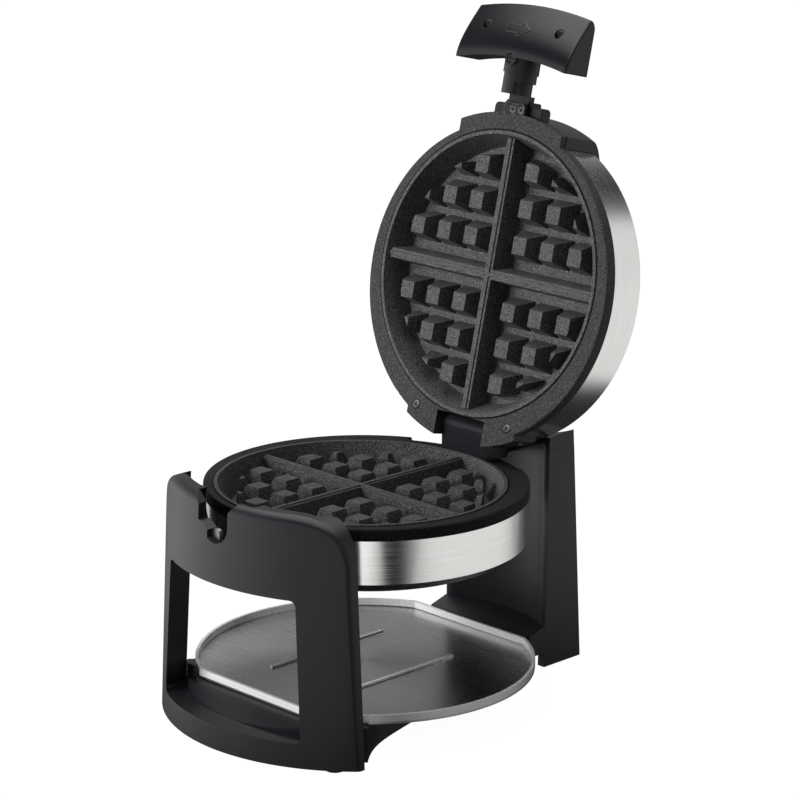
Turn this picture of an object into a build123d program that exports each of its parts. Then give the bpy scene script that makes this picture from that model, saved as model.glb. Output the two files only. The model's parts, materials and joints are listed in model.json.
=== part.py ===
from build123d import *
import math
import os

# Rotating waffle maker, modelled in millimetres with +Z up and the front support towards -Y.
# Every piece is first placed about the centre of the grid plates, with the lid closed.
# The lid is then swung open and the whole is moved so that the origin is the middle of its footprint.

# Round cooking halves
HOUSING_R = 108.0
HOUSING_Y = 5.5
RIM_GAP = 3.0
RIM_Z = 152.9
LID_RIM_Z = RIM_Z + RIM_GAP
BEZEL_SKIRT = 7.9
BEZEL_WALL = 2.6
BEZEL_TOP = 3.0
BEZEL_ROUND = 1.4
BAND_WALL = 0.7
BAND_INSET = 0.2
LOWER_BAND_HEIGHT = 28.9
LID_BAND_HEIGHT = 26.1
COVER_WALL = 2.5
COVER_STEP = 5.0
COVER_STEP_IN = 5.5
COVER_CROWN = 4.0
COVER_CROWN_IN = 9.0
PIECE_GAP = 0.1
RUN_CLEAR = 0.06

# Grid plates
PLATE_INSET = 11.0
PLATE_R = HOUSING_R - PLATE_INSET
PLATE_RIM_WIDTH = 2.4
PLATE_RIM_IN = PLATE_R - PLATE_RIM_WIDTH
PLATE_RIM_UP = 0.5
PLATE_FLANGE = 3.0
CAVITY_DEPTH = 18.0
CAVITY_SLOPE = 7.1
CAVITY_FLOOR_R = PLATE_RIM_IN - CAVITY_SLOPE
PLATE_WALL = 3.2
BUMP_FIRST = 22.7
BUMP_PITCH = 24.8
BUMP_COUNT = 3
BUMP_BASE = 20.6
BUMP_TOP = 11.6
BUMP_HEIGHT = 14.6
BUMP_FIELD_IN = 5.5
DIVIDER_BASE = 12.4
DIVIDER_TOP = 6.6
DIVIDER_HEIGHT = 15.4
BEAD_WIDTH = 2.4
BEAD_HEIGHT = 0.9
HUB_R = 5.2

# Heaters behind the plates
ELEMENT_IN = 25.5
ELEMENT_R = CAVITY_FLOOR_R - ELEMENT_IN
ELEMENT_TUBE_R = 3.3
ELEMENT_SWEEP = 320.0
TERMINAL_LENGTH = 9.0
THERMOSTAT_R = 9.0
THERMOSTAT_HEIGHT = 6.0
SHIELD_IN = 3.5
SHIELD_R = CAVITY_FLOOR_R - SHIELD_IN
SHIELD_RIM = 5.0
SHIELD_SHEET = 0.8
SHIELD_DROP = 13.0
POST_R = 4.0
POST_IN = 10.0
POST_CIRCLE_R = SHIELD_R - POST_IN
POST_COUNT = 4

# Lid hinge
HINGE_INSET = 7.84
HINGE_Y = HOUSING_Y + HOUSING_R - HINGE_INSET
HINGE_UP = 13.4
HINGE_Z = LID_RIM_Z + HINGE_UP
OPEN_ANGLE = 102.78
BLOCK_HALF = 21.5
EAR_GAP = 0.5
EAR_HALF = 50.0
EAR_PROUD = 3.5
EAR_R = HOUSING_R + EAR_PROUD
EAR_HEIGHT = 22.7
EAR_TOP_Z = LID_RIM_Z + EAR_HEIGHT
EAR_SCREW_X = 42.5
EAR_SCREW_IN = 7.46
EAR_SCREW_Y = HINGE_Y - EAR_SCREW_IN
NOTCH_IN = 7.96
NOTCH_Y = HINGE_Y - NOTCH_IN
NOTCH_CLEAR = 0.4
EAR_FRONT = 4.0
EAR_SEAT_FRONT = 12.7
PIN_R = 3.0
PIN_IN_BLOCK = 12.0
PIN_IN_EAR = 24.0
EAR_POCKET = 2.5
EAR_POCKET_FRONT = 3.0
EAR_POCKET_SIDE = 2.0
SWING_CLEAR = 0.6

# Rotation of the head
AXIS_Z = 157.0
SHAFT_R = 8.5
SHAFT_BORE_R = 4.5
BLOCK_REACH = 13.34
BLOCK_BACK_Y = HINGE_Y + BLOCK_REACH
BLOCK_SHOULDER = 1.0
BLOCK_STEP = 2.0
SHAFT_LENGTH = 35.5
SHAFT_END_Y = BLOCK_BACK_Y + SHAFT_LENGTH
BUSH_WALL = 1.6
BUSH_END_IN = 5.0
BUSH_END_Y = SHAFT_END_Y - BUSH_END_IN
BOSS_BORE_OVER = 1.5
BOSS_BORE_END_Y = SHAFT_END_Y + BOSS_BORE_OVER
BOSS_WALL = 1.6
BOSS_R = SHAFT_R + RUN_CLEAR + BUSH_WALL + BOSS_WALL
BOSS_FLAT_UP = 11.2
BOSS_FRONT_GAP = 7.0
BOSS_FRONT_Y = BLOCK_BACK_Y + BOSS_FRONT_GAP
RETAINER_OVER = 1.2
RETAINER_R = SHAFT_R + RETAINER_OVER
RETAINER_GAP = 0.4
RETAINER_WIDTH = 3.6

# Handle end of the lid
CAP_PROUD = 7.1
CAP_R = HOUSING_R + CAP_PROUD
CAP_HALF = 46.5
CAP_FACE = 5.5
CAP_SHOULDER = 33.0
CAP_END_IN = 7.0
CAP_END_UP = 43.3
CAP_FRONT_Y = HOUSING_Y - CAP_R
TAB_HALF = 9.5
TAB_REACH = 7.0
TAB_THICK = 3.3
TAB_ROUND = 2.2
BRACKET_HALF = 21.7
BRACKET_MIDDLE_HALF = 12.4
BRACKET_REACH = 8.7
BRACKET_LOBE_REACH = 6.0
BRACKET_FACE = 4.5
BRACKET_DEPTH = 8.6
BRACKET_ROUND = 3.4
BRACKET_EDGE = 1.0
TONGUE_HALF = 9.0
TONGUE_DEPTH = 5.6
TONGUE_SCREW_X = 4.4
TONGUE_SCREW_REACH = 2.6
NECK_R = 9.0
NECK_START = 12.3
JOURNAL_R = 11.2
JOURNAL_LENGTH = 14.0
JOURNAL_START_Y = CAP_FRONT_Y - NECK_START
JOURNAL_END_Y = JOURNAL_START_Y - JOURNAL_LENGTH
SLEEVE_SLIT = 7.4
SLEEVE_SLIT_WIDTH = 0.8
SLEEVE_RIGHT_X = 4.0
SLEEVE_RIB = 1.2
COLLAR_R = 12.1
COLLAR_LENGTH = 11.2
COLLAR_END_Y = JOURNAL_END_Y - COLLAR_LENGTH
COLLAR_SCREW_R = 4.9
COLLAR_SCREW_IN = 1.7
COLLAR_SCREW_SUNK = 0.6
TAIL_R = 5.5
TAIL_LENGTH = 9.0

# Handle grip, a wedge bent round an upright axis behind the lid
GRIP_LOW_IN = 1.0
GRIP_LOW_Y = COLLAR_END_Y + GRIP_LOW_IN
GRIP_BEND_R = 226.5
GRIP_HALF = 50.5
GRIP_FRONT_Z = 143.8
GRIP_BACK_Z = 166.6
GRIP_WIDTH = 35.8
GRIP_PLATE = 3.0
GRIP_ROUND = 1.8
GRIP_SWEEP = 60.0
GRIP_SCREW_X = 32.4
GRIP_SCREW_UP = 22.0
GRIP_SCREW_SEAT_Z = 154.5

# Front support
SUPPORT_STAND_OFF = 21.0
SUPPORT_R = HOUSING_R + SUPPORT_STAND_OFF
SUPPORT_WALL = 15.0
SUPPORT_Y = -4.1
SUPPORT_FRONT_Y = SUPPORT_Y - SUPPORT_R
SUPPORT_LEAN = 2.29
SUPPORT_TOP_Z = 166.2
SUPPORT_ROUND = 6.0
SUPPORT_FOOT_HALF = 94.9
SUPPORT_WAIST_HALF = 87.2
SUPPORT_WAIST_Z = 124.0
SUPPORT_FLAT_HALF = 50.0
SUPPORT_END_DEPTH = 46.0
WINDOW_TOP_HALF = 59.2
WINDOW_TOP_Z = 111.3
WINDOW_LOW_HALF = 64.9
WINDOW_LOW_Z = 17.9
WINDOW_ROUND = 4.0
SEAT_LEFT = 18.7
SEAT_RIGHT = 9.9
SEAT_FLARE = 5.4
SEAT_FLARE_Z = 160.0
SEAT_SHELF_Z = 149.6
SEAT_SHELF_IN = 3.6
SEAT_NOTCH_Z = 145.2
SEAT_FLOOR_Z = 137.9
SEAT_FLOOR_HALF = 8.8
POCKET_CLEAR = 3.4
POCKET_DEPTH = 0.6
SWEEP_CLEAR = 1.4
LEAF_X = -5.0
LEAF_HALF = 4.0
LEAF_THICK = 2.6
LEAF_BEHIND = 2.0
LEAF_FOOT_Z = 131.0
REST_CLEAR = 0.5

# Base
BASE_TOP_Z = 24.6
BASE_LIFT = 1.5
BASE_WALL = 3.0
SILL_Z = 17.6
LEDGE_IN = 36.1
LEDGE_Y = SUPPORT_FRONT_Y + LEDGE_IN
SILL_DEPTH = 14.1
BASE_END_X = SUPPORT_FOOT_HALF - 4.9
BASE_END_Y = SUPPORT_FRONT_Y + 53.1
BASE_FLANK_IN = 28.0
BASE_FLANK_BACK = 30.0
BASE_FLANK_OUT = 19.0
BASE_FLANK_FRONT = 62.0
BASE_WAIST_HALF = 47.0
BASE_WAIST_Y = 30.0
FOOT_R = 6.5
FOOT_SEAT = 2.0
FOOT_HOLE_CLEAR = 0.02
FOOT_FRONT_ANGLE = 40.0
FOOT_REAR_IN = 12.0
FOOT_REAR_UP = 14.0

# Tower
TOWER_HALF = 47.4
TOWER_GAP = 13.5
TOWER_FRONT_Y = BLOCK_BACK_Y + TOWER_GAP
TOWER_DEPTH = 37.0
TOWER_BACK_Y = TOWER_FRONT_Y + TOWER_DEPTH
TOWER_TAPER = 12.9
TOWER_BACK_TOP_Y = TOWER_BACK_Y - TOWER_TAPER
TOWER_TOE = 15.5
TOWER_TOE_Y = TOWER_FRONT_Y - TOWER_TOE
TOWER_TOE_Z = 27.0
TOWER_TOE_LOW_Z = 12.0
TOWER_STEP_Z = 31.5
TOWER_TOP_Z = 166.6
TOWER_MIDDLE_Z = 167.6
TOWER_CREST_Z = 171.2
TOWER_SEAM_Z = 156.7
TOWER_WALL = 3.0
TOWER_HOLLOW_R = 91.5
TOWER_HOLLOW_DEPTH = 11.0
TOWER_HOLLOW_Y = TOWER_FRONT_Y + TOWER_HOLLOW_DEPTH - TOWER_HOLLOW_R
TOWER_LIP = 4.2
TOWER_ARCH_WALL = 6.0
TOWER_ARCH_BACK = 20.0
SADDLE_R = 120.0
SADDLE_Z = 158.4
REAR_COVER_HALF = 36.0
REAR_COVER_LOW_Z = 34.0
REAR_COVER_TOP_Z = 138.0
REAR_COVER_THICK = 2.5
CORD_X = 0.0
CORD_Z = 20.0
CORD_GLAND_R = 7.0
CORD_GLAND_IN = 16.0
CORD_GLAND_OUT = 1.0
CORD_BORE_R = 3.6

# Drip tray
TRAY_R = SUPPORT_R - SUPPORT_WALL
TRAY_Y = 5.7
TRAY_OVER = 2.5
TRAY_FRONT_Y = LEDGE_Y + TRAY_OVER
TRAY_TOE_GAP = 10.0
TRAY_REAR_Y = TOWER_TOE_Y - TRAY_TOE_GAP
TRAY_SHEET = 0.8
TRAY_HEM = 1.2
TRAY_RIM_Z = 31.0
TRAY_CLEAR = 0.4
TRAY_RIB_LENGTH = 106.0
TRAY_RIB_X = 33.6
TRAY_RIB_Y = 3.0
TRAY_RIB_R = 2.2
TRAY_RIB_UP = 1.2
TRAY_RIB_TAPER = 35.0
CLIP_X = 60.0
CLIP_HALF = 4.0

SCREW_HEAD_R = 3.0
SCREW_HEAD = 2.0
SCREW_SHANK_R = 1.5
SCREW_LENGTH = 8.0
SCREW_SEAT_CLEAR = 0.4
BIG = 400.0

os.makedirs("parts", exist_ok=True)


def drum(radius, z0, z1, x=0.0, y=0.0):
    """Upright cylinder between two heights."""
    return Pos(x, y, z0) * Cylinder(radius, z1 - z0, align=(Align.CENTER, Align.CENTER, Align.MIN))


def ring(outer, inner, z0, z1, y=0.0):
    """Upright tube between two heights."""
    return drum(outer, z0, z1, y=y) - drum(inner, z0 - 1, z1 + 1, y=y)


def block(x0, x1, y0, y1, z0, z1):
    """Box between two corners."""
    return Pos((x0 + x1) / 2, (y0 + y1) / 2, (z0 + z1) / 2) * Box(x1 - x0, y1 - y0, z1 - z0)


def rod_y(radius, y0, y1, x=0.0, z=0.0):
    """Cylinder that runs front to rear."""
    return Pos(x, (y0 + y1) / 2, z) * Rot(90, 0, 0) * Cylinder(radius, abs(y1 - y0))


def rod_x(radius, x0, x1, y, z):
    """Cylinder that runs left to right."""
    return Pos((x0 + x1) / 2, y, z) * Rot(0, 90, 0) * Cylinder(radius, abs(x1 - x0))


def slab_x(points, x0, x1):
    """Side profile given as (y, z) points, extruded from x0 to x1."""
    face = make_face(Polyline(*[(x0, y, z) for y, z in points], close=True))
    return extrude(face, amount=x1 - x0, dir=(1, 0, 0))


def slab_y(face_xz, y0, y1):
    """Front profile drawn on the XZ plane, extruded from y0 to y1."""
    return Pos(0, y0, 0) * extrude(face_xz, amount=y1 - y0, dir=(0, 1, 0))


def lathe(points, y=0.0):
    """Solid of revolution about Z from (radius, height) points."""
    face = make_face(Polyline(*[(r, 0, z) for r, z in points], close=True))
    return Pos(0, y, 0) * revolve(face, Axis.Z)


def screw_up(x, y, z, length=SCREW_LENGTH):
    """Screw whose head faces down, with the underside of the head at z."""
    return drum(SCREW_HEAD_R, z - SCREW_HEAD, z, x, y) + drum(SCREW_SHANK_R, z, z + length, x, y)


def both_sides(shape):
    """A shape and its mirror image left to right."""
    return shape + mirror(shape, about=Plane.YZ)


# Grid plate, rim at height 0 and cooking face upwards

def bump(x, y):
    """Truncated pyramid standing on the cavity floor."""
    low = Pos(x, y, -CAVITY_DEPTH - 0.5) * Rectangle(BUMP_BASE + 0.3, BUMP_BASE + 0.3)
    high = Pos(x, y, -CAVITY_DEPTH + BUMP_HEIGHT) * Rectangle(BUMP_TOP, BUMP_TOP)
    return loft([low, high])


def divider(width_low, width_high, z_low, z_high, length):
    """Ridge along X with sloping sides."""
    profile = [(-width_low / 2, z_low), (width_low / 2, z_low), (width_high / 2, z_high), (-width_high / 2, z_high)]
    return slab_x(profile, -length, length)


def grid_plate():
    floor = -CAVITY_DEPTH
    under = floor - PLATE_WALL
    body = lathe([
        (0, under),
        (CAVITY_FLOOR_R + 2, under),
        (PLATE_R - 3, -PLATE_FLANGE),
        (PLATE_R, -PLATE_FLANGE),
        (PLATE_R, PLATE_RIM_UP),
        (PLATE_RIM_IN, PLATE_RIM_UP),
        (CAVITY_FLOOR_R, floor),
        (0, floor),
    ])
    field = []
    for i in range(BUMP_COUNT):
        for j in range(BUMP_COUNT):
            if i + j > BUMP_COUNT:
                continue
            for sx in (-1, 1):
                for sy in (-1, 1):
                    x = sx * (BUMP_FIRST + i * BUMP_PITCH)
                    y = sy * (BUMP_FIRST + j * BUMP_PITCH)
                    field.append(bump(x, y))
    limit = drum(CAVITY_FLOOR_R - BUMP_FIELD_IN, floor - 0.4, 0)
    bumps = [piece & limit for piece in field]
    reach = (CAVITY_FLOOR_R + PLATE_RIM_IN) / 2 + 1.5
    z_top = floor + DIVIDER_HEIGHT
    wall = divider(DIVIDER_BASE, DIVIDER_TOP, floor - 0.4, z_top, reach)
    bead = divider(BEAD_WIDTH + 0.6, BEAD_WIDTH, z_top - 0.4, z_top + BEAD_HEIGHT, reach)
    ridges = [wall, Rot(0, 0, 90) * wall, bead, Rot(0, 0, 90) * bead]
    hub = drum(HUB_R, z_top - 2, z_top)
    within = lathe([(0, under + 0.5), (CAVITY_FLOOR_R + 1, under + 0.5), (PLATE_RIM_IN + 1, 0), (0, 0)])
    ridges = [ridge & within for ridge in ridges]
    return Part() + [body, *bumps, *ridges, hub]


# Heater, shield and thermostat below a plate, in the same local frame

PLATE_UNDER = -CAVITY_DEPTH - PLATE_WALL
ELEMENT_Z = PLATE_UNDER - ELEMENT_TUBE_R - PIECE_GAP


def heating_element():
    start = (360 - ELEMENT_SWEEP) / 2 - 90
    arc = CenterArc((0, 0, ELEMENT_Z), ELEMENT_R, start, ELEMENT_SWEEP)
    tube = sweep(Plane(origin=arc @ 0, z_dir=arc % 0) * Circle(ELEMENT_TUBE_R), path=arc)
    ends = [arc @ 0, arc @ 1]
    pins = [
        drum(ELEMENT_TUBE_R / 2, ELEMENT_Z - TERMINAL_LENGTH, ELEMENT_Z, p.X, p.Y)
        for p in ends
    ]
    return Part() + [tube, *pins]


def thermostat():
    return drum(THERMOSTAT_R, PLATE_UNDER - THERMOSTAT_HEIGHT, PLATE_UNDER)


def shield_posts():
    points = PolarLocations(POST_CIRCLE_R, POST_COUNT, start_angle=45)
    return [(place.position.X, place.position.Y) for place in points]


def heat_shield():
    z = PLATE_UNDER - SHIELD_DROP
    dish = lathe([
        (0, z),
        (SHIELD_R, z),
        (SHIELD_R + 2, z + SHIELD_RIM),
        (SHIELD_R + 2 - SHIELD_SHEET, z + SHIELD_RIM),
        (SHIELD_R - SHIELD_SHEET, z + SHIELD_SHEET),
        (0, z + SHIELD_SHEET),
    ])
    ends = [(heating_end_x(side), heating_end_y()) for side in (-1, 1)]
    for x, y in ends:
        dish -= drum(ELEMENT_TUBE_R, z - 1, z + SHIELD_RIM, x, y)
    return dish


def heating_end_x(side):
    return side * ELEMENT_R * math.sin(math.radians((360 - ELEMENT_SWEEP) / 2))


def heating_end_y():
    return -ELEMENT_R * math.cos(math.radians((360 - ELEMENT_SWEEP) / 2))


# Housing of one half, rim at height 0 and opening upwards

def bezel():
    plate = drum(HOUSING_R, -BEZEL_TOP, 0, y=HOUSING_Y)
    skirt = ring(HOUSING_R, HOUSING_R - BEZEL_WALL, -BEZEL_SKIRT, -BEZEL_TOP, y=HOUSING_Y)
    body = plate + skirt
    rim = body.edges().filter_by(GeomType.CIRCLE).group_by(Axis.Z)[-1]
    body = fillet(rim, BEZEL_ROUND)
    return body - drum(PLATE_R + PIECE_GAP, -BEZEL_SKIRT, 1)


def band(height):
    outer = HOUSING_R - BAND_INSET
    return ring(outer, outer - BAND_WALL, -BEZEL_SKIRT - height, -BEZEL_SKIRT, y=HOUSING_Y)


def cover(height):
    top = -BEZEL_TOP
    low = -BEZEL_SKIRT - height
    wall_out = HOUSING_R - BAND_INSET - BAND_WALL - PIECE_GAP
    skirt_in = HOUSING_R - BEZEL_WALL - PIECE_GAP
    floor_in = HOUSING_R - COVER_CROWN_IN - COVER_STEP_IN
    outline = [
        (skirt_in - COVER_WALL, top),
        (skirt_in, top),
        (skirt_in, -BEZEL_SKIRT),
        (wall_out, -BEZEL_SKIRT),
        (wall_out, low),
        (HOUSING_R - BAND_INSET, low),
        (HOUSING_R - COVER_STEP_IN, low - COVER_STEP),
        (floor_in, low - COVER_STEP - COVER_CROWN),
        (0, low - COVER_STEP - COVER_CROWN),
        (0, low - COVER_STEP - COVER_CROWN + COVER_WALL),
        (floor_in - 1, low - COVER_STEP - COVER_CROWN + COVER_WALL),
        (HOUSING_R - COVER_STEP_IN - COVER_WALL, low - COVER_STEP + 1),
        (skirt_in - COVER_WALL, low + 2),
    ]
    body = lathe(outline, y=HOUSING_Y)
    z_shield = PLATE_UNDER - SHIELD_DROP
    z_floor = low - COVER_STEP - COVER_CROWN + COVER_WALL - 0.5
    posts = [drum(POST_R, z_floor, z_shield, x, y) for x, y in shield_posts()]
    return Part() + [body, *posts]


def as_lower(shape):
    """Stand a half's piece in the lower half."""
    return Pos(0, 0, RIM_Z) * shape


def as_lid(shape):
    """Turn a half's piece over into the closed lid."""
    return Pos(0, 0, LID_RIM_Z) * mirror(shape, about=Plane.XY)


# Lower half

def block_profile(grow=0.0):
    """Side outline of the hinge block, as (y, z) points, from the pocket floor to the rounded top."""
    radius = HINGE_Y - NOTCH_Y - NOTCH_CLEAR + grow
    seat = RIM_Z - EAR_POCKET
    steps = 12
    arc = [
        (HINGE_Y - radius * math.cos(math.pi * k / steps), HINGE_Z + radius * math.sin(math.pi * k / steps))
        for k in range(steps + 1)
    ]
    back = BLOCK_BACK_Y + grow
    foot = AXIS_Z - SHAFT_R - BLOCK_STEP
    return [(HINGE_Y - radius, seat), *arc, (back, HINGE_Z - BLOCK_SHOULDER), (back, foot), (back, seat)]


def hinge_block():
    body = slab_x(block_profile(), -BLOCK_HALF, BLOCK_HALF)
    body -= rod_x(PIN_R + RUN_CLEAR, -BIG, BIG, HINGE_Y, HINGE_Z)
    return body


def ear_pockets():
    """Recess in the lower rim under the lid's ears and the hinge block."""
    half = EAR_HALF + EAR_POCKET_SIDE
    return block(-half, half, NOTCH_Y - EAR_POCKET_FRONT, BIG, RIM_Z - EAR_POCKET, RIM_Z + 5)


def lower_bezel():
    body = as_lower(bezel()) - ear_pockets()
    for x in (-BLOCK_HALF / 2, BLOCK_HALF / 2):
        body -= drum(SCREW_SHANK_R + RUN_CLEAR, RIM_Z - 10, RIM_Z, x, HINGE_Y)
    return body


def head_shaft():
    rod = rod_y(SHAFT_R, BLOCK_BACK_Y, SHAFT_END_Y, z=AXIS_Z)
    return rod - rod_y(SHAFT_BORE_R, BLOCK_BACK_Y - 1, SHAFT_END_Y + 1, z=AXIS_Z)


# Lid, closed

def ears(grow=0.0):
    """Two hinge ears, with an optional envelope around them."""
    inner = BLOCK_HALF + EAR_GAP
    outline = drum(EAR_R + grow, LID_RIM_Z - grow, EAR_TOP_Z + grow, y=HOUSING_Y)
    slot = block(inner - grow, EAR_HALF + grow, NOTCH_Y - EAR_FRONT - grow, BIG, 0, BIG)
    right = outline & slot
    swing = rod_x(swing_radius() + grow, 0, BIG, HINGE_Y, HINGE_Z)
    front = block(0, BIG, 0, HINGE_Y, 0, BIG)
    right = (right & swing) + (right & front)
    return both_sides(right)


def swing_radius():
    """Largest radius about the hinge that clears the pocket in the lower rim."""
    return HINGE_Z - RIM_Z + EAR_POCKET - SWING_CLEAR


def notch_cut():
    """Opening in the rear of the lid for the hinge block and the shaft."""
    half = BLOCK_HALF + EAR_GAP
    return block(-half, half, NOTCH_Y, BIG, LID_RIM_Z - 5, BIG)


def neck_tab():
    """Small tab in the middle of the lid's rim that the neck is screwed to."""
    outline = Pos(0, CAP_FRONT_Y) * RectangleRounded(2 * TAB_HALF, 2 * TAB_REACH, TAB_ROUND)
    return Pos(0, 0, LID_RIM_Z) * extrude(outline, amount=TAB_THICK)


def front_extension():
    """Arch of the lid rim under the front cap, with the neck's tab."""
    z1 = LID_RIM_Z + CAP_FACE
    arch = drum(CAP_R - PIECE_GAP, LID_RIM_Z, z1, y=HOUSING_Y)
    arch &= block(-CAP_HALF + 0.5, CAP_HALF - 0.5, -BIG, HOUSING_Y - PLATE_R / 2, 0, BIG)
    inside = drum(HOUSING_R - BEZEL_WALL, LID_RIM_Z + BEZEL_TOP, z1 + 1, y=HOUSING_Y)
    return arch + neck_tab() - inside - drum(PLATE_R + PIECE_GAP, 0, BIG)


def lid_bezel():
    body = as_lid(bezel()) - notch_cut()
    body += ears()
    body += front_extension()
    body -= drum(PLATE_R + PIECE_GAP, 0, BIG)
    body -= rod_x(PIN_R + RUN_CLEAR / 3, -BLOCK_HALF - PIN_IN_EAR, BLOCK_HALF + PIN_IN_EAR, HINGE_Y, HINGE_Z)
    for x, y in [*ear_screw_places(), *neck_screw_places()]:
        body -= drum(SCREW_HEAD_R + SCREW_SEAT_CLEAR, 0, LID_RIM_Z + SCREW_HEAD, x, y)
        body -= drum(SCREW_SHANK_R + RUN_CLEAR, 0, LID_RIM_Z + SCREW_HEAD + SCREW_LENGTH, x, y)
    return body


def ear_screw_places():
    return [(-EAR_SCREW_X, EAR_SCREW_Y), (EAR_SCREW_X, EAR_SCREW_Y)]


def neck_screw_places():
    y = CAP_FRONT_Y - TONGUE_SCREW_REACH
    return [(-TONGUE_SCREW_X, y), (TONGUE_SCREW_X, y)]


def lid_front_cap():
    """Arched cap in front of the lid that rolls over the edge of its back."""
    band_end = BEZEL_SKIRT + LID_BAND_HEIGHT
    step_r = HOUSING_R - COVER_STEP_IN
    end_r = HOUSING_R - CAP_END_IN
    slope = COVER_CROWN / COVER_CROWN_IN
    inner_end_z = band_end + COVER_STEP + (step_r - end_r) * slope
    gap = 3 * PIECE_GAP
    roll = CAP_END_UP - CAP_SHOULDER
    outline = make_face([
        Line((CAP_R, 0, CAP_FACE + PIECE_GAP), (CAP_R, 0, CAP_SHOULDER)),
        Bezier(
            (CAP_R, 0, CAP_SHOULDER),
            (CAP_R - 0.6, 0, CAP_SHOULDER + 0.35 * roll),
            (end_r + CAP_END_IN, 0, CAP_END_UP - 0.2 * roll),
            (end_r, 0, CAP_END_UP),
        ),
        Line((end_r, 0, CAP_END_UP), (end_r, 0, inner_end_z + gap)),
        Line((end_r, 0, inner_end_z + gap), (step_r + gap, 0, band_end + COVER_STEP + gap)),
        Line((step_r + gap, 0, band_end + COVER_STEP + gap), (HOUSING_R + PIECE_GAP, 0, band_end + gap)),
        Line((HOUSING_R + PIECE_GAP, 0, band_end + gap), (HOUSING_R + PIECE_GAP, 0, CAP_FACE + PIECE_GAP)),
        Line((HOUSING_R + PIECE_GAP, 0, CAP_FACE + PIECE_GAP), (CAP_R, 0, CAP_FACE + PIECE_GAP)),
    ])
    shell = Pos(0, HOUSING_Y, LID_RIM_Z) * revolve(outline, Axis.Z)
    return shell & block(-CAP_HALF, CAP_HALF, -BIG, HOUSING_Y - PLATE_R / 2, 0, BIG)


def lid_band():
    half = EAR_HALF + 0.5
    return as_lid(band(LID_BAND_HEIGHT)) - block(-half, half, HOUSING_Y, BIG, 0, BIG)


def cover_fill(height):
    """Outer shape of a cover without its hollow."""
    low = -BEZEL_SKIRT - height
    radius = HOUSING_R - BAND_INSET
    return lathe([
        (0, -BEZEL_SKIRT),
        (radius, -BEZEL_SKIRT),
        (radius, low),
        (HOUSING_R - COVER_STEP_IN, low - COVER_STEP),
        (HOUSING_R - COVER_CROWN_IN - COVER_STEP_IN, low - COVER_STEP - COVER_CROWN),
        (0, low - COVER_STEP - COVER_CROWN),
    ], y=HOUSING_Y)


def lid_cover():
    """Back of the lid, solid behind the ears and notched for the hinge block."""
    rear = block(-EAR_HALF, EAR_HALF, NOTCH_Y - COVER_WALL, BIG, 0, BIG)
    body = as_lid(cover(LID_BAND_HEIGHT)) + (as_lid(cover_fill(LID_BAND_HEIGHT)) & rear)
    inner = BLOCK_HALF + EAR_GAP
    seat_y = NOTCH_Y - EAR_SEAT_FRONT
    seat = block(inner - 1, EAR_HALF + PIECE_GAP, seat_y, BIG, LID_RIM_Z - 1, EAR_TOP_Z + PIECE_GAP)
    return body - notch_cut() - both_sides(seat)


# Neck and grip, in the closed lid's place

def neck_bracket():
    """Plate behind the lid's arch with a rounded lobe on each side of the neck."""
    z0 = LID_RIM_Z + BRACKET_FACE
    low = CAP_FRONT_Y + BIG / 8
    lobes = Pos(0, (low + CAP_FRONT_Y - BRACKET_LOBE_REACH) / 2) * RectangleRounded(
        2 * BRACKET_HALF, low - CAP_FRONT_Y + BRACKET_LOBE_REACH, BRACKET_ROUND
    )
    middle = Pos(0, CAP_FRONT_Y) * RectangleRounded(2 * BRACKET_MIDDLE_HALF, 2 * BRACKET_REACH, BRACKET_ROUND / 2)
    body = Pos(0, 0, z0) * extrude(lobes + middle, amount=BRACKET_DEPTH)
    body = fillet(body.edges().group_by(Axis.Z)[0], BRACKET_EDGE)
    body -= drum(CAP_R + PIECE_GAP, 0, BIG, y=HOUSING_Y)
    return body - handle_tongue(PIECE_GAP)


def handle_tongue(grow=0.0):
    """Flat root of the neck behind the rim's tab."""
    half = TONGUE_HALF + grow
    z0 = LID_RIM_Z + TAB_THICK + PIECE_GAP - grow
    z1 = z0 + TONGUE_DEPTH + 2 * grow
    root = block(-half, half, JOURNAL_START_Y, CAP_FRONT_Y + 1, z0, z1)
    return root - drum(CAP_R + PIECE_GAP - grow, 0, BIG, y=HOUSING_Y)


def handle_neck():
    """Core, half sleeve with a slit, collar with its screw boss, and a tail inside the grip."""
    slit_y = JOURNAL_START_Y - SLEEVE_SLIT
    core = rod_y(NECK_R, JOURNAL_START_Y, COLLAR_END_Y, z=AXIS_Z)
    sleeve = rod_y(JOURNAL_R, JOURNAL_START_Y, JOURNAL_END_Y, z=AXIS_Z)
    rib = block(-JOURNAL_R - SLEEVE_RIB, 0, JOURNAL_END_Y, JOURNAL_START_Y, AXIS_Z - SLEEVE_RIB, AXIS_Z + SLEEVE_RIB)
    sleeve = sleeve + rib
    sleeve -= block(SLEEVE_RIGHT_X, BIG, slit_y, BIG, 0, BIG)
    sleeve -= block(SLEEVE_RIGHT_X, BIG, slit_y - SLEEVE_SLIT_WIDTH, slit_y, 0, BIG)
    collar = rod_y(COLLAR_R, JOURNAL_END_Y, COLLAR_END_Y, z=AXIS_Z)
    lobe = drum(COLLAR_SCREW_R, GRIP_FRONT_Z, AXIS_Z, y=collar_screw_y())
    tail = rod_y(TAIL_R, COLLAR_END_Y, COLLAR_END_Y - TAIL_LENGTH, z=AXIS_Z)
    body = Part() + [core, sleeve, collar, lobe, tail, handle_tongue()]
    body &= block(-BIG, BIG, -BIG, BIG, 0, GRIP_BACK_Z)
    body -= drum(SCREW_HEAD_R + SCREW_SEAT_CLEAR, 0, collar_screw_seat(), y=collar_screw_y())
    return body - drum(SCREW_SHANK_R + RUN_CLEAR, 0, collar_screw_seat() + SCREW_LENGTH, y=collar_screw_y())


def collar_screw_y():
    return COLLAR_END_Y + COLLAR_SCREW_IN


def collar_screw_seat():
    return GRIP_FRONT_Z + SCREW_HEAD + COLLAR_SCREW_SUNK


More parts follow.
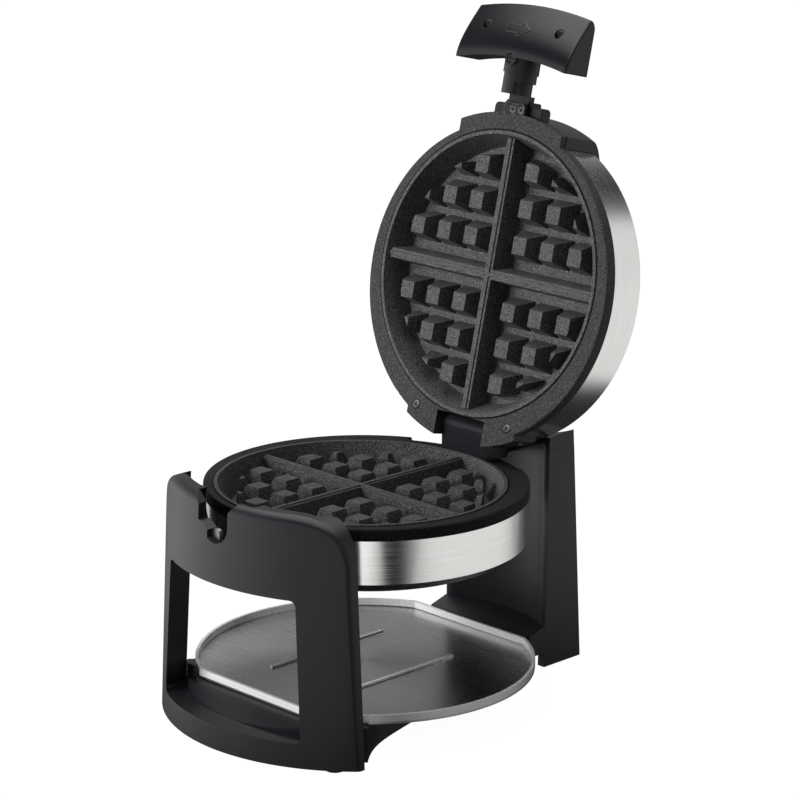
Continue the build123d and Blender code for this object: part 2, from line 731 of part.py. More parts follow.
def grip_axis_y():
    return GRIP_LOW_Y + GRIP_BEND_R


def grip_blank():
    """Wedge section turned about the upright axis: thick at the neck, thin at the outer edge."""
    r0 = GRIP_BEND_R
    r1 = r0 + GRIP_WIDTH
    front = GRIP_FRONT_Z
    rise = GRIP_BACK_Z - front
    tip = (r1, 0, front + 0.70 * rise)
    back = (r1 - 0.18 * GRIP_WIDTH, 0, GRIP_BACK_Z)
    outline = make_face([
        Bezier(
            (r0, 0, front),
            (r0 + 0.30 * GRIP_WIDTH, 0, front - 0.02 * rise),
            (r0 + 0.72 * GRIP_WIDTH, 0, front + 0.42 * rise),
            tip,
        ),
        Bezier(tip, (r1 + 0.06 * GRIP_WIDTH, 0, front + 0.76 * rise), (r1, 0, GRIP_BACK_Z), back),
        Line(back, (r0, 0, GRIP_BACK_Z)),
        Line((r0, 0, GRIP_BACK_Z), (r0, 0, front)),
    ])
    turned = Pos(0, grip_axis_y(), 0) * Rot(0, 0, -90 - GRIP_SWEEP / 2) * revolve(outline, Axis.Z, GRIP_SWEEP)
    return turned & block(-GRIP_HALF, GRIP_HALF, -BIG, 0, 0, BIG)


def grip_screw_places():
    """Screw places on an arc, the same distance up the grip's face."""
    reach = GRIP_BEND_R + GRIP_SCREW_UP
    y = grip_axis_y() - math.sqrt(reach * reach - GRIP_SCREW_X * GRIP_SCREW_X)
    return [(-GRIP_SCREW_X, y), (GRIP_SCREW_X, y)]


def grip_parts():
    blank = grip_blank()
    ends = [edge for edge in blank.edges() if abs(abs((edge @ 0.5).X) - GRIP_HALF) < 0.01]
    blank = fillet(ends, GRIP_ROUND)
    seam = GRIP_BACK_Z - GRIP_PLATE
    front = blank & block(-BIG, BIG, -BIG, BIG, 0, seam - PIECE_GAP)
    rear = blank & block(-BIG, BIG, -BIG, BIG, seam, BIG)
    for x, y in grip_screw_places():
        front -= drum(SCREW_HEAD_R + SCREW_SEAT_CLEAR, 0, GRIP_SCREW_SEAT_Z, x, y)
        front -= drum(SCREW_SHANK_R + RUN_CLEAR, 0, BIG, x, y)
        rear -= drum(SCREW_SHANK_R + RUN_CLEAR, 0, GRIP_SCREW_SEAT_Z + grip_screw_length() + PIECE_GAP, x, y)
    socket = rod_y(TAIL_R + PIECE_GAP, 0, COLLAR_END_Y - TAIL_LENGTH - PIECE_GAP, z=AXIS_Z)
    collar = rod_y(COLLAR_R + PIECE_GAP, 0, COLLAR_END_Y - PIECE_GAP, z=AXIS_Z)
    lobe = drum(COLLAR_SCREW_R + PIECE_GAP, 0, AXIS_Z, y=collar_screw_y())
    return front - socket - collar - lobe, rear - collar


def grip_screw_length():
    return GRIP_BACK_Z - GRIP_SCREW_SEAT_Z - GRIP_PLATE / 3


def grip_screws():
    length = grip_screw_length()
    return [screw_up(x, y, GRIP_SCREW_SEAT_Z, length) for x, y in grip_screw_places()]


# Front support

def leaning_drum(radius):
    return Pos(0, SUPPORT_Y, 0) * Rot(-SUPPORT_LEAN, 0, 0) * Cylinder(radius, BIG)


def support_outline():
    foot = (SUPPORT_FOOT_HALF, 0, BASE_LIFT)
    waist = (SUPPORT_WAIST_HALF, 0, SUPPORT_WAIST_Z)
    top = (SUPPORT_FLAT_HALF, 0, SUPPORT_TOP_Z)
    shoulder = SUPPORT_TOP_Z - SUPPORT_WAIST_Z
    pull_up = (SUPPORT_WAIST_HALF - 0.3, 0, SUPPORT_WAIST_Z + 0.62 * shoulder)
    pull_out = (SUPPORT_FLAT_HALF + 0.8 * (SUPPORT_WAIST_HALF - SUPPORT_FLAT_HALF), 0, SUPPORT_TOP_Z)

    def left(point):
        return (-point[0], point[1], point[2])

    return make_face([
        Line(left(foot), foot),
        Line(foot, waist),
        Bezier(waist, pull_up, pull_out, top),
        Line(top, left(top)),
        Bezier(left(top), left(pull_out), left(pull_up), left(waist)),
        Line(left(waist), left(foot)),
    ])


def window_outline():
    corners = [
        (-WINDOW_LOW_HALF, 0, WINDOW_LOW_Z),
        (WINDOW_LOW_HALF, 0, WINDOW_LOW_Z),
        (WINDOW_TOP_HALF, 0, WINDOW_TOP_Z),
        (-WINDOW_TOP_HALF, 0, WINDOW_TOP_Z),
    ]
    return make_face(FilletPolyline(*corners, radius=WINDOW_ROUND, close=True))


def seat_outline():
    """Keyway that the handle's neck drops into, with a shelf and a sloping step on the left."""
    top = SUPPORT_TOP_Z + 5
    start = (-SEAT_FLOOR_HALF, 0, SEAT_FLOOR_Z + SEAT_FLOOR_HALF / 4)
    points = [
        (SEAT_RIGHT, SEAT_SHELF_Z),
        (SEAT_RIGHT, SEAT_FLARE_Z),
        (SEAT_RIGHT + SEAT_FLARE, SUPPORT_TOP_Z),
        (SEAT_RIGHT + SEAT_FLARE, top),
        (-SEAT_LEFT - SEAT_FLARE, top),
        (-SEAT_LEFT - SEAT_FLARE, SUPPORT_TOP_Z),
        (-SEAT_LEFT, SEAT_FLARE_Z),
        (-SEAT_LEFT, SEAT_SHELF_Z),
        (-SEAT_LEFT + SEAT_SHELF_IN, SEAT_SHELF_Z),
        (-SEAT_FLOOR_HALF, SEAT_NOTCH_Z),
    ]
    corners = [(x, 0, z) for x, z in points]
    floor = ThreePointArc(start, (SEAT_FLOOR_HALF * 0.35, 0, SEAT_FLOOR_Z + 1), corners[0])
    return make_face([floor, Polyline(*corners, start)])


def from_support_axis(point):
    """Distance of a point from the support's leaning axis."""
    lean = math.radians(SUPPORT_LEAN)
    across = (point.Y - SUPPORT_Y) * math.cos(lean) - point.Z * math.sin(lean)
    return math.hypot(point.X, across)


def head_sweep():
    """Space that the lid's front cap needs as the closed head turns."""
    steps = 6
    rise = CAP_SHOULDER
    profile = [(0, HOUSING_Y - CAP_R - SWEEP_CLEAR)]
    for k in range(steps + 1):
        x = CAP_HALF * k / steps
        y = HOUSING_Y - math.sqrt(CAP_R * CAP_R - x * x) - SWEEP_CLEAR
        profile.append((math.hypot(x, rise) + SWEEP_CLEAR, y))
    edge = math.hypot(CAP_HALF, CAP_END_UP) + SWEEP_CLEAR
    profile += [(edge, profile[-1][1] + SWEEP_CLEAR), (edge, 0), (0, 0)]
    face = make_face(Polyline(*[(r, y, 0) for r, y in profile], close=True))
    return Pos(0, 0, AXIS_Z) * revolve(face, Axis.Y)


def front_support():
    tube = leaning_drum(SUPPORT_R) - leaning_drum(SUPPORT_R - SUPPORT_WALL)
    body = slab_y(support_outline(), -BIG / 2, SUPPORT_FRONT_Y + SUPPORT_END_DEPTH) & tube
    outer_edges = [
        edge for edge in body.edges()
        if abs(from_support_axis(edge @ 0.5) - SUPPORT_R) < 0.5 and (edge @ 0.5).Z > BASE_LIFT + 1
    ]
    body = fillet(outer_edges, SUPPORT_ROUND)
    cut_end = SUPPORT_Y - SUPPORT_R / 2
    body -= slab_y(window_outline(), -BIG / 2, cut_end)
    body -= slab_y(seat_outline(), -BIG / 2, cut_end)
    body -= rod_y(pocket_r(), pocket_front_y(), 0, z=AXIS_Z)
    body -= head_sweep()
    body -= neck_rest(PIECE_GAP / 5)
    for x, y in feet_places()[:2]:
        body -= drum(FOOT_R + FOOT_HOLE_CLEAR, 0, BASE_LIFT + FOOT_SEAT, x, y)
    return body


def pocket_r():
    """The pocket clears the corners of the neck's bracket in every turn of the head."""
    up = LID_RIM_Z + BRACKET_FACE + BRACKET_DEPTH - AXIS_Z
    return math.hypot(BRACKET_HALF, up) + POCKET_CLEAR


def pocket_front_y():
    return CAP_FRONT_Y - BRACKET_REACH - POCKET_DEPTH


def neck_rest(grow=0.0):
    """Leaf that holds the neck from below, with a rounded top, standing in a slot of the support."""
    reach = JOURNAL_R + REST_CLEAR + LEAF_HALF
    top_z = AXIS_Z - math.sqrt(reach * reach - LEAF_X * LEAF_X)
    y1 = pocket_front_y() - LEAF_BEHIND + grow
    y0 = pocket_front_y() - LEAF_BEHIND - LEAF_THICK - grow
    half = LEAF_HALF + grow
    leaf = block(LEAF_X - half, LEAF_X + half, y0, y1, LEAF_FOOT_Z - grow, top_z)
    return leaf + rod_y(half, y0, y1, x=LEAF_X, z=top_z)


# Base

def base_plan(inset=0.0):
    """Plan of the base: as wide as the support in front, narrowing to the tower behind."""
    end_x = BASE_END_X - inset
    waist_x = BASE_WAIST_HALF - inset
    tail_y = TOWER_TOE_Y - PIECE_GAP - inset
    flank = Bezier(
        (end_x, BASE_END_Y),
        (end_x - BASE_FLANK_IN, BASE_END_Y + BASE_FLANK_BACK),
        (waist_x + BASE_FLANK_OUT, BASE_WAIST_Y - BASE_FLANK_FRONT),
        (waist_x, BASE_WAIST_Y),
    )
    right = make_face([
        Line((0, -BIG / 2), (end_x, -BIG / 2)),
        Line((end_x, -BIG / 2), (end_x, BASE_END_Y)),
        flank,
        Line((waist_x, BASE_WAIST_Y), (waist_x, tail_y)),
        Line((waist_x, tail_y), (0, tail_y)),
        Line((0, tail_y), (0, -BIG / 2)),
    ])
    return right + mirror(right, about=Plane.YZ)


def base_frame():
    body = Pos(0, 0, BASE_LIFT) * extrude(base_plan(), amount=BASE_TOP_Z - BASE_LIFT)
    rear = block(-BIG, BIG, 0, BIG, 0, BIG)
    body &= leaning_drum(SUPPORT_R - SUPPORT_WALL - PIECE_GAP) + rear
    sill_y = SUPPORT_FRONT_Y + SILL_DEPTH
    slope = [(-BIG, SILL_Z), (sill_y, SILL_Z), (LEDGE_Y, BASE_TOP_Z), (LEDGE_Y, BIG), (-BIG, BIG)]
    body -= slab_x(slope, -BIG, BIG)
    hollow = extrude(base_plan(BASE_WALL), amount=SILL_Z - BASE_WALL)
    hollow &= leaning_drum(SUPPORT_R - SUPPORT_WALL - BASE_WALL - PIECE_GAP) + rear
    return body - hollow


def feet_places():
    """Two feet under the middle of the support's wall and two under the tower."""
    reach = SUPPORT_R - SUPPORT_WALL / 2
    angle = math.radians(FOOT_FRONT_ANGLE)
    front_x = reach * math.sin(angle)
    front_y = SUPPORT_Y - reach * math.cos(angle)
    rear_x = TOWER_HALF - FOOT_REAR_IN
    rear_y = TOWER_BACK_Y - FOOT_REAR_UP
    return [(-front_x, front_y), (front_x, front_y), (-rear_x, rear_y), (rear_x, rear_y)]


def rubber_feet():
    return [drum(FOOT_R, 0, BASE_LIFT + FOOT_SEAT, x, y) for x, y in feet_places()]


# Tower

def tower_profile():
    return [
        (TOWER_FRONT_Y, BASE_LIFT),
        (TOWER_FRONT_Y, TOWER_TOE_LOW_Z),
        (TOWER_TOE_Y, TOWER_TOE_LOW_Z),
        (TOWER_TOE_Y, TOWER_TOE_Z),
        (TOWER_FRONT_Y, TOWER_STEP_Z),
        (TOWER_FRONT_Y, TOWER_TOP_Z),
        ((TOWER_FRONT_Y + TOWER_BACK_TOP_Y) / 2, TOWER_MIDDLE_Z),
        (TOWER_BACK_TOP_Y, TOWER_CREST_Z),
        (TOWER_BACK_Y, BASE_LIFT),
    ]


def tower_blank():
    """Tower with a hollowed front, a round saddle on top and the boss of the shaft."""
    body = slab_x(tower_profile(), -TOWER_HALF, TOWER_HALF)
    hollow_front = drum(TOWER_HOLLOW_R, TOWER_STEP_Z, BIG, y=TOWER_HOLLOW_Y)
    saddle_z = SADDLE_Z + SADDLE_R
    hollow_front -= rod_y(SADDLE_R + TOWER_LIP, 0, BIG, z=saddle_z)
    body = body - hollow_front - rod_y(SADDLE_R, 0, BIG, z=saddle_z)
    flat_boss = boss(BOSS_R, BOSS_FRONT_Y, BOSS_BORE_END_Y)
    body += flat_boss - block(-BIG, BIG, 0, BIG, AXIS_Z + BOSS_FLAT_UP, BIG)
    return body - boss(bush_outer_r() + PIECE_GAP / 5, 0, BOSS_BORE_END_Y)


def bush_outer_r():
    return SHAFT_R + RUN_CLEAR + BUSH_WALL


def tower_inside():
    """Space inside the tower, one wall in from its outer faces."""
    w = TOWER_WALL
    profile = [
        (TOWER_HOLLOW_Y + TOWER_HOLLOW_R + w, TOWER_STEP_Z + w),
        (TOWER_HOLLOW_Y + TOWER_HOLLOW_R + w, TOWER_SEAM_Z + 1),
        (TOWER_BACK_TOP_Y - w, TOWER_SEAM_Z + 1),
        (TOWER_BACK_Y - 2 * w, TOWER_STEP_Z + w),
    ]
    return slab_x(profile, -TOWER_HALF + w, TOWER_HALF - w)


def boss(radius, y0, y1):
    return rod_y(radius, y0, y1, z=AXIS_Z)


def tower_shell():
    body = tower_blank() & block(-BIG, BIG, 0, BIG, 0, TOWER_SEAM_Z)
    body -= tower_inside() - boss(BOSS_R, 0, BIG)
    arch_half = TOWER_HALF - TOWER_ARCH_WALL
    body -= block(-arch_half, arch_half, 0, TOWER_BACK_Y - TOWER_ARCH_BACK, 0, TOWER_TOE_Z - TOWER_WALL)
    body -= rear_cover_blank(PIECE_GAP)
    body -= rod_y(CORD_GLAND_R + RUN_CLEAR / 3, TOWER_BACK_Y - TOWER_ARCH_BACK - 1, BIG, x=CORD_X, z=CORD_Z)
    for x, y in feet_places()[2:]:
        body -= drum(FOOT_R + FOOT_HOLE_CLEAR, 0, BASE_LIFT + FOOT_SEAT, x, y)
    return body


def tower_cap():
    return tower_blank() & block(-BIG, BIG, 0, BIG, TOWER_SEAM_Z + PIECE_GAP, BIG)


def rear_cover_blank(grow=0.0):
    slope = (TOWER_BACK_Y - TOWER_BACK_TOP_Y) / (TOWER_CREST_Z - BASE_LIFT)

    def back(z):
        return TOWER_BACK_Y - slope * (z - BASE_LIFT)

    low = REAR_COVER_LOW_Z - grow
    high = REAR_COVER_TOP_Z + grow
    profile = [
        (back(low) - REAR_COVER_THICK - grow, low),
        (back(low) + 1 if grow else back(low), low),
        (back(high) + 1 if grow else back(high), high),
        (back(high) - REAR_COVER_THICK - grow, high),
    ]
    return slab_x(profile, -REAR_COVER_HALF - grow, REAR_COVER_HALF + grow)


def shaft_bushing():
    body = boss(bush_outer_r(), BOSS_FRONT_Y, BUSH_END_Y)
    return body - boss(SHAFT_R + RUN_CLEAR, 0, BIG)


def shaft_retainer():
    y0 = BUSH_END_Y + RETAINER_GAP
    body = boss(RETAINER_R, y0, y0 + RETAINER_WIDTH)
    return body - boss(SHAFT_R + PIECE_GAP / 5, 0, BIG)


def cord_inlet():
    body = rod_y(CORD_GLAND_R, TOWER_BACK_Y - CORD_GLAND_IN, TOWER_BACK_Y + CORD_GLAND_OUT, x=CORD_X, z=CORD_Z)
    return body - rod_y(CORD_BORE_R, 0, BIG, x=CORD_X, z=CORD_Z)


# Drip tray

def tray_plan(inset=0.0):
    disc = Pos(0, TRAY_Y) * Circle(TRAY_R - inset)
    depth = TRAY_REAR_Y - TRAY_FRONT_Y - 2 * inset
    return disc & (Pos(0, (TRAY_REAR_Y + TRAY_FRONT_Y) / 2) * Rectangle(3 * TRAY_R, depth))


def drip_tray():
    low = BASE_TOP_Z + TRAY_CLEAR
    body = Pos(0, 0, low) * extrude(tray_plan(), amount=TRAY_RIM_Z - low)
    body -= Pos(0, 0, low + TRAY_SHEET) * extrude(tray_plan(TRAY_SHEET + TRAY_HEM), amount=BIG)
    for x in (-TRAY_RIB_X, TRAY_RIB_X):
        rib = SlotOverall(TRAY_RIB_LENGTH, 2 * TRAY_RIB_R, rotation=90)
        ridge = extrude(rib, amount=TRAY_RIB_UP + TRAY_SHEET / 2, taper=TRAY_RIB_TAPER)
        body += Pos(x, TRAY_RIB_Y, low + TRAY_SHEET / 2) * ridge
    return body


def tray_clips():
    """Small posts on the base that keep the tray from walking forwards."""
    return [
        block(x - CLIP_HALF, x + CLIP_HALF, LEDGE_Y, TRAY_FRONT_Y - TRAY_CLEAR, BASE_TOP_Z, TRAY_RIM_Z + 2)
        for x in (-CLIP_X, CLIP_X)
    ]


# Assembly

def hinge_pins():
    pin = rod_x(PIN_R, BLOCK_HALF - PIN_IN_BLOCK, BLOCK_HALF + PIN_IN_EAR, HINGE_Y, HINGE_Z)
    return [pin, mirror(pin, about=Plane.YZ)]


def ear_screws():
    return [screw_up(x, y, LID_RIM_Z + SCREW_HEAD) for x, y in ear_screw_places()]


def neck_screws():
    """Two screws in the lid's tab and one in the neck's collar."""
    tab = [screw_up(x, y, LID_RIM_Z + SCREW_HEAD) for x, y in neck_screw_places()]
    return [*tab, screw_up(0, collar_screw_y(), collar_screw_seat())]


def build():
    grip_front, grip_rear = grip_parts()
    neck = handle_neck()
    bracket = neck_bracket()
    for x, y in neck_screw_places():
        hole = drum(SCREW_SHANK_R + RUN_CLEAR, 0, LID_RIM_Z + SCREW_HEAD + SCREW_LENGTH + 1, x, y)
        neck -= hole
        bracket -= hole
    stand = {
        "front_support": front_support(),
        "base_frame": base_frame(),
        "neck_rest": neck_rest(),
        "tower_shell": tower_shell(),
        "tower_cap": tower_cap(),
        "tower_rear_cover": rear_cover_blank(),
        "shaft_bushing": shaft_bushing(),
        "cord_inlet": cord_inlet(),
        "rubber_feet": Compound(children=rubber_feet()),
        "tray_clips": Compound(children=tray_clips()),
    }
    head = {
        "lower_bezel": lower_bezel(),
        "lower_grid_plate": as_lower(grid_plate()),
        "lower_band": as_lower(band(LOWER_BAND_HEIGHT)),
        "lower_cover": as_lower(cover(LOWER_BAND_HEIGHT)),
        "lower_heating_element": as_lower(heating_element()),
        "lower_thermostat": as_lower(thermostat()),
        "lower_heat_shield": as_lower(heat_shield()),
        "hinge_block": hinge_block(),
        "head_shaft": head_shaft(),
        "shaft_retainer": shaft_retainer(),
    }
    lid = {
        "lid_bezel": lid_bezel(),
        "lid_grid_plate": as_lid(grid_plate()),
        "lid_band": lid_band(),
        "lid_cover": lid_cover(),
        "lid_heating_element": as_lid(heating_element()),
        "lid_thermostat": as_lid(thermostat()),
        "lid_heat_shield": as_lid(heat_shield()),
        "lid_front_cap": lid_front_cap(),
        "hinge_pins": Compound(children=hinge_pins()),
        "lid_ear_screws": Compound(children=ear_screws()),
        "neck_bracket": bracket,
        "neck_screws": Compound(children=neck_screws()),
        "handle_neck": neck,
        "grip_front": grip_front,
        "grip_rear": grip_rear,
        "grip_screws": Compound(children=grip_screws()),
    }
    tray = {"drip_tray": drip_tray()}
    return stand, head, lid, tray


def swing_open(shape):
    hinge = Axis((0, HINGE_Y, HINGE_Z), (1, 0, 0))
    return shape.rotate(hinge, -OPEN_ANGLE)


def main():
    stand, head, lid, tray = build()
    lid = {name: swing_open(shape) for name, shape in lid.items()}
    nodes = {**stand, **head, **lid, **tray}
    boxes = [shape.bounding_box() for shape in nodes.values()]
    low_y = min(box.min.Y for box in boxes)
    high_y = max(box.max.Y for box in boxes)
    shift = -(low_y + high_y) / 2
    print("shift in y", round(shift, 4))
    print("hinge axis", round(HINGE_Y + shift, 4), HINGE_Z)
    for name, shape in nodes.items():
        export_step(Pos(0, shift, 0) * shape, "parts/" + name + ".step")


main()
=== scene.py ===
import json
import math

import bmesh
import bpy
from mathutils import Matrix, Vector
from mathutils.bvhtree import BVHTree


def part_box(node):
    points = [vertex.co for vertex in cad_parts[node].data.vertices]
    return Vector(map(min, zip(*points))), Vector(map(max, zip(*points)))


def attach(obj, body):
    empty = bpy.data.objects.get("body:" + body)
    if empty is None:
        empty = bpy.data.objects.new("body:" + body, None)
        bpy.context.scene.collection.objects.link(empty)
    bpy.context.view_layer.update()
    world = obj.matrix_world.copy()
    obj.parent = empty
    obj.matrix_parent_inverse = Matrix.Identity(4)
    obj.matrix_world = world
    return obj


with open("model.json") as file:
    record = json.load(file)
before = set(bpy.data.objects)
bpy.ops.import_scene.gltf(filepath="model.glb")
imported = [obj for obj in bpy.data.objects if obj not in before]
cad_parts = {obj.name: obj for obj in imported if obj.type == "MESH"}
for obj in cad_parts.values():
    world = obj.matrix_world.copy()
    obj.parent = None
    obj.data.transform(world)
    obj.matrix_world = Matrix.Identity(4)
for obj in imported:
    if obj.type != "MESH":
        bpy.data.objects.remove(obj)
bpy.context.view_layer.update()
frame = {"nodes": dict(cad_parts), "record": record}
MM = 0.001

# Places read from the frame
PLATE_LOW, PLATE_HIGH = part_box("lower_grid_plate")
PLATE_CENTRE = (PLATE_LOW + PLATE_HIGH) / 2
MIDDLE = Vector((PLATE_CENTRE.x, PLATE_CENTRE.y, 0.0))
JOINTS = {joint["name"]: joint for joint in frame["record"]["behaviour"]["joints"]}
HINGE = Vector(JOINTS["lid_hinge"]["pos_m"])
LID_ANGLE = math.radians(JOINTS["lid_hinge"]["range_deg"][1])
TO_OPEN = Matrix.Rotation(-LID_ANGLE, 3, "X")
TO_CLOSED = TO_OPEN.inverted()
TRAY_SHEET = 0.8 * MM
TRAY_FLOOR_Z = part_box("drip_tray")[0].z + TRAY_SHEET

# Camera, measured from the floor under the middle of the plates
VIEW_AZIMUTH = math.radians(44.88)
VIEW_ELEVATION = math.radians(15.36)
VIEW_ROLL = math.radians(0.66)
VIEW_TARGET = Vector((3.12, 32.67, 203.0)) * MM
VIEW_DISTANCE = 1984.93 * MM
VIEW_LENS = 135.0
SENSOR = 36.0
CLIP_END = 20.0

WHITE = (1.0, 1.0, 1.0, 1.0)


def opened(point):
    """World place of a point of the closed lid, given in millimetres from MIDDLE."""
    return HINGE + TO_OPEN @ (Vector(point) * MM + MIDDLE - HINGE)


# Node helpers

class Nodes:
    """A small wrapper that adds and links shader nodes."""

    def __init__(self, tree):
        self.tree = tree

    def add(self, kind, inputs=None, **settings):
        node = self.tree.nodes.new(kind)
        for key, value in settings.items():
            setattr(node, key, value)
        self.feed(node, inputs or {})
        return node

    def feed(self, node, inputs):
        for key, value in inputs.items():
            self.put(value, node.inputs[key])

    def put(self, value, socket):
        if isinstance(value, bpy.types.NodeSocket):
            self.tree.links.new(value, socket)
        else:
            socket.default_value = value

    def maths(self, operation, a, b=0.0):
        return self.add("ShaderNodeMath", {0: a, 1: b}, operation=operation).outputs[0]

    def vector_maths(self, operation, a, b):
        return self.add("ShaderNodeVectorMath", {0: a, 1: b}, operation=operation).outputs[0]

    def length(self, vector):
        node = self.add("ShaderNodeVectorMath", {0: vector}, operation="LENGTH")
        return node.outputs["Value"]

    def parts(self, vector):
        return self.add("ShaderNodeSeparateXYZ", {"Vector": vector}).outputs

    def map_range(self, value, start, end, low=0.0, high=1.0):
        inputs = {"Value": value, "From Min": start, "From Max": end, "To Min": low, "To Max": high}
        return self.add("ShaderNodeMapRange", inputs).outputs[0]

    def ramp(self, value, stops):
        node = self.add("ShaderNodeValToRGB", {"Fac": value})
        elements = node.color_ramp.elements
        while len(elements) < len(stops):
            elements.new(0.5)
        for element, (place, colour) in zip(elements, stops):
            element.position = place
            element.color = (*colour, 1.0)
        return node.outputs["Color"]

    def shades(self, value, colour, stops):
        """Lighter and darker shades of a colour; a stop is a place on value and a factor."""
        shade = [(place, [min(1.0, part * factor) for part in colour]) for place, factor in stops]
        return self.ramp(value, shade)

    def scatter(self, value, low, spread):
        """A number that runs from low to low + spread as value runs from 0 to 1."""
        return self.maths("ADD", self.maths("MULTIPLY", value, spread), low)

    def noise(self, vector, scale, detail=2.0, roughness=0.5):
        inputs = {"Vector": vector, "Scale": scale, "Detail": detail, "Roughness": roughness}
        return self.add("ShaderNodeTexNoise", inputs).outputs["Fac"]

    def bump(self, height, strength, distance):
        inputs = {"Height": height, "Strength": strength, "Distance": distance}
        return self.add("ShaderNodeBump", inputs).outputs["Normal"]

    def mix_colour(self, share, first, second):
        inputs = {"Factor": share, "A": first, "B": second}
        return self.add("ShaderNodeMix", inputs, data_type="RGBA").outputs[2]

    def mix_shaders(self, share, first, second):
        return self.add("ShaderNodeMixShader", {0: share, 1: first, 2: second}).outputs[0]

    def emission(self, strength):
        return self.add("ShaderNodeEmission", {"Color": WHITE, "Strength": strength}).outputs[0]


def new_material(name):
    made = bpy.data.materials.new(name)
    made.use_nodes = True
    tree = made.node_tree
    nodes = Nodes(tree)
    place = nodes.add("ShaderNodeTexCoord").outputs["Object"]
    return made, nodes, tree.nodes["Principled BSDF"], place


def grey(value, tint=(1.0, 1.0, 1.0)):
    return tuple(value * part for part in tint)


# Materials, with noise scales per metre and sizes of grain in millimetres

FINE_DETAIL = 3.0

PLASTIC_CLOUD = 18.0
PLASTIC_SHADES = [(0.3, 0.9), (0.7, 1.12)]
PLASTIC_SPREAD = 0.10
PLASTIC_SPECULAR = 0.27
PLASTIC_RELIEF = 0.02 * MM


def moulded_plastic(name, colour, rough, grain=0.25, grain_size=0.5):
    """Satin moulded plastic with a fine even grain."""
    made, nodes, shader, place = new_material(name)
    fine = nodes.noise(place, 1.0 / (grain_size * MM), FINE_DETAIL)
    nodes.feed(shader, {
        "Base Color": nodes.shades(nodes.noise(place, PLASTIC_CLOUD), colour, PLASTIC_SHADES),
        "Roughness": nodes.scatter(fine, rough - PLASTIC_SPREAD / 2, PLASTIC_SPREAD),
        "Specular IOR Level": PLASTIC_SPECULAR,
        "Normal": nodes.bump(fine, grain, PLASTIC_RELIEF),
    })
    return made


GRAIN_ROUGHNESS = 0.65
GRAIN_STOPS = (0.40, 0.51, 0.64)
GRAIN_SPREAD = 0.2
GRAIN_STRENGTH = 0.3
GRAIN_RELIEF = 0.12 * MM
# Painted shade: rims are painted black within GAP_R of their axis, in the gap next to the plate
GAP_R = 98.3 * MM
GAP_PAINTED_SHADE = (0.001, 0.001, 0.001, 1.0)
ACROSS_AXIS = (1.0, 1.0, 0.0)


def speckled_coating(name, dark, light, rough, size, specular, axis=None):
    """Non-stick coating with fine paler grains; a rim's is painted black within GAP_R of its axis,
    as painted shade in the gap next to its plate.
    """
    made, nodes, shader, place = new_material(name)
    grain = nodes.noise(place, 1.0 / (size * MM), FINE_DETAIL, GRAIN_ROUGHNESS)
    middle = [(2 * a + b) / 3 for a, b in zip(dark, light)]
    tone = nodes.ramp(grain, list(zip(GRAIN_STOPS, (dark, middle, light))))
    # Painted shade in the gap between rim and plate
    if axis:
        across = nodes.vector_maths("MULTIPLY", axis(nodes, place), ACROSS_AXIS)
        in_gap_shade = nodes.maths("LESS_THAN", nodes.length(across), GAP_R)
        tone = nodes.mix_colour(in_gap_shade, tone, GAP_PAINTED_SHADE)
    nodes.feed(shader, {
        "Base Color": tone,
        "Roughness": nodes.scatter(grain, rough - GRAIN_SPREAD / 2, GRAIN_SPREAD),
        "Specular IOR Level": specular,
        "Normal": nodes.bump(grain, GRAIN_STRENGTH, GRAIN_RELIEF),
    })
    return made


LINE_DETAIL = 5.0
LINE_ROUGHNESS = 0.75
BRUSHED_CLOUD = 14.0
CLOUD_SHARE = 0.15
BRUSHED_SHADES = [(0.18, 0.78), (0.46, 1.14)]
BRUSHED_SPREAD = 0.22
BRUSHED_STRENGTH = 0.14
BRUSHED_RELIEF = 0.03 * MM
ANISOTROPY = 0.5
# Painted highlight: a pale, less metallic colour on raised parts (the tray's hem and ribs)
RAISED_PAINTED_HIGHLIGHT = (0.95, 0.94, 0.93, 1.0)
PAINTED_HIGHLIGHT_DULLING = 0.65


def brushed(name, colour, rough, vector_maker, streak=0.34, raised=None):
    """Brushed metal with fine lines along vector_maker's vector, painted pale and less metallic
    above raised heights as a painted highlight.
    """
    made, nodes, shader, place = new_material(name)
    lines = nodes.noise(vector_maker(nodes, place), 1.0, LINE_DETAIL, LINE_ROUGHNESS)
    cloud = nodes.maths("MULTIPLY", nodes.noise(place, BRUSHED_CLOUD), CLOUD_SHARE)
    level = nodes.maths("ADD", nodes.maths("MULTIPLY", lines, streak), cloud)
    tone = nodes.shades(level, colour, BRUSHED_SHADES)
    metallic = 1.0
    # Painted highlight above the raised heights
    if raised:
        up = nodes.map_range(nodes.parts(place)["Z"], *raised)
        tone = nodes.mix_colour(up, tone, RAISED_PAINTED_HIGHLIGHT)
        metallic = nodes.maths("SUBTRACT", 1.0, nodes.maths("MULTIPLY", up, PAINTED_HIGHLIGHT_DULLING))
    nodes.feed(shader, {
        "Base Color": tone,
        "Metallic": metallic,
        "Roughness": nodes.scatter(lines, rough - BRUSHED_SPREAD / 2, BRUSHED_SPREAD),
        "Normal": nodes.bump(lines, BRUSHED_STRENGTH, BRUSHED_RELIEF),
        "Anisotropic": ANISOTROPY,
    })
    return made


def axis_frame(origin, tilt):
    """Texture vector from origin, with its Z along an axis that is tilted about X."""
    def make(nodes, place):
        shifted = nodes.vector_maths("ADD", place, tuple(-part for part in origin))
        inputs = {"Vector": shifted, "Angle": tilt}
        return nodes.add("ShaderNodeVectorRotate", inputs, rotation_type="X_AXIS").outputs[0]
    return make


RING_LINES = 1400.0
RING_WAVES = 2.0


